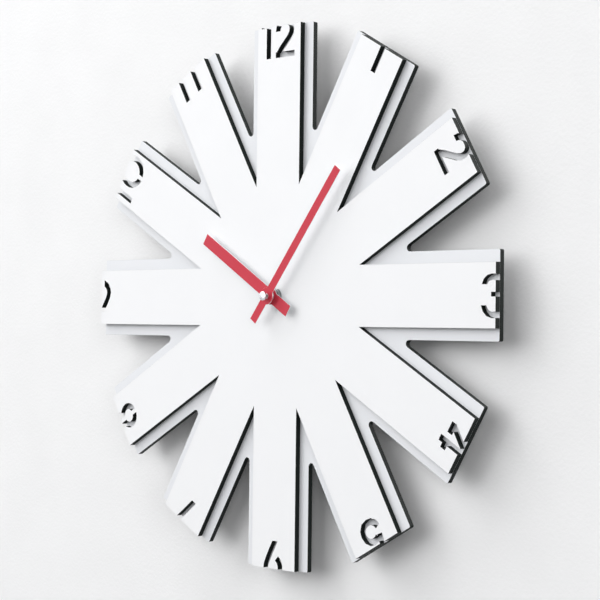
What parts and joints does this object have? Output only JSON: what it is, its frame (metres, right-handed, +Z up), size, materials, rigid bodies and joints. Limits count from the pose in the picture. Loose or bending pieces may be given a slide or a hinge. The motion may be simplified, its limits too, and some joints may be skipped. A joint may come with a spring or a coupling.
{
  "type": "wall clock",
  "caption": "Wall clock with two stacked star-shaped plates, stencil numerals cut through the arms, flat bar hands and a square quartz movement behind.",
  "frame": {"origin": "on the hands' axis, on the rear face of the movement cover, where the clock touches the wall", "axes": "+Z up towards twelve, +X to the right as the dial is read, the dial faces -Y and +Y points into the wall"},
  "size_m": [0.4, 0.0411, 0.4],
  "materials": {
    "black_board": "matte black laminate core with cut edges",
    "white_laminate": "matte white",
    "grey_laminate": "matte pale grey",
    "red_paint": "satin red paint",
    "black_plastic": "fine matte moulding",
    "white_plastic": "smooth moulding",
    "natural_plastic": "smooth uncoloured moulding",
    "rubber": "matte",
    "brass": "plain turned",
    "steel": "plain sheet",
    "chrome": "polished",
    "aluminium": "plain turned",
    "copper": "enamelled copper wire",
    "circuit_board": "green solder mask",
    "magnet": "sintered magnet",
    "battery_sleeve": "plain sleeve over a steel can"
  },
  "bodies": {
    "clock": {"dial_core": "black_board", "dial_face": "white_laminate", "backing_core": "black_board", "backing_face": "grey_laminate", "rubber_washer": "rubber", "dial_washer": "steel", "dial_nut": "steel", "movement_base": "black_plastic", "movement_cover": "black_plastic", "battery": "battery_sleeve", "negative_spring": "steel", "positive_contact": "steel", "circuit_board": "circuit_board", "quartz_crystal": "steel", "coil": "copper", "coil_core": "steel", "stator": "steel"},
    "minute": {"minute_arbor": "brass", "minute_collet": "aluminium", "minute_hand": "red_paint", "cap_nut": "chrome"},
    "hour": {"hour_wheel": "natural_plastic", "hour_collet": "aluminium", "hour_hand": "red_paint"},
    "motion": {"motion_wheel": "white_plastic"},
    "setting": {"set_knob": "white_plastic"},
    "rotor": {"rotor": "magnet"},
    "fifth": {"fifth_wheel": "white_plastic"},
    "seconds": {"seconds_wheel": "white_plastic"},
    "third": {"third_wheel": "natural_plastic"},
    "centre": {"centre_wheel": "brass"}
  },
  "joints": [
    {"name": "minute_spin", "type": "hinge", "parent": "clock", "child": "minute", "pos_m": [0, 0, 0], "axis": [0, 1, 0], "continuous": true},
    {"name": "hour_spin", "type": "hinge", "parent": "clock", "child": "hour", "pos_m": [0, 0, 0], "axis": [0, 1, 0], "continuous": true},
    {"name": "motion_spin", "type": "hinge", "parent": "clock", "child": "motion", "pos_m": [0.0084, 0, 0], "axis": [0, 1, 0], "continuous": true},
    {"name": "setting_spin", "type": "hinge", "parent": "clock", "child": "setting", "pos_m": [0.0189, 0, 0], "axis": [0, 1, 0], "continuous": true},
    {"name": "rotor_spin", "type": "hinge", "parent": "clock", "child": "rotor", "pos_m": [-0.00775, 0, 0.00877], "axis": [0, 1, 0], "continuous": true},
    {"name": "fifth_spin", "type": "hinge", "parent": "clock", "child": "fifth", "pos_m": [-0.00722, 0, 0.00263], "axis": [0, 1, 0], "continuous": true},
    {"name": "seconds_spin", "type": "hinge", "parent": "clock", "child": "seconds", "pos_m": [0, 0, 0], "axis": [0, 1, 0], "continuous": true},
    {"name": "third_spin", "type": "hinge", "parent": "clock", "child": "third", "pos_m": [0.00627, 0, 0.00439], "axis": [0, 1, 0], "continuous": true},
    {"name": "centre_spin", "type": "hinge", "parent": "clock", "child": "centre", "pos_m": [0, 0, 0], "axis": [0, 1, 0], "continuous": true}
  ],
  "couplings": [
    {"joint": "hour_spin", "follows": "minute_spin", "ratio": 0.083333},
    {"joint": "motion_spin", "follows": "minute_spin", "ratio": -0.33333},
    {"joint": "setting_spin", "follows": "minute_spin", "ratio": 0.5},
    {"joint": "fifth_spin", "follows": "rotor_spin", "ratio": -0.16667},
    {"joint": "seconds_spin", "follows": "rotor_spin", "ratio": 0.033333},
    {"joint": "third_spin", "follows": "rotor_spin", "ratio": -0.0044444},
    {"joint": "centre_spin", "follows": "rotor_spin", "ratio": 0.00055556}
  ]
}
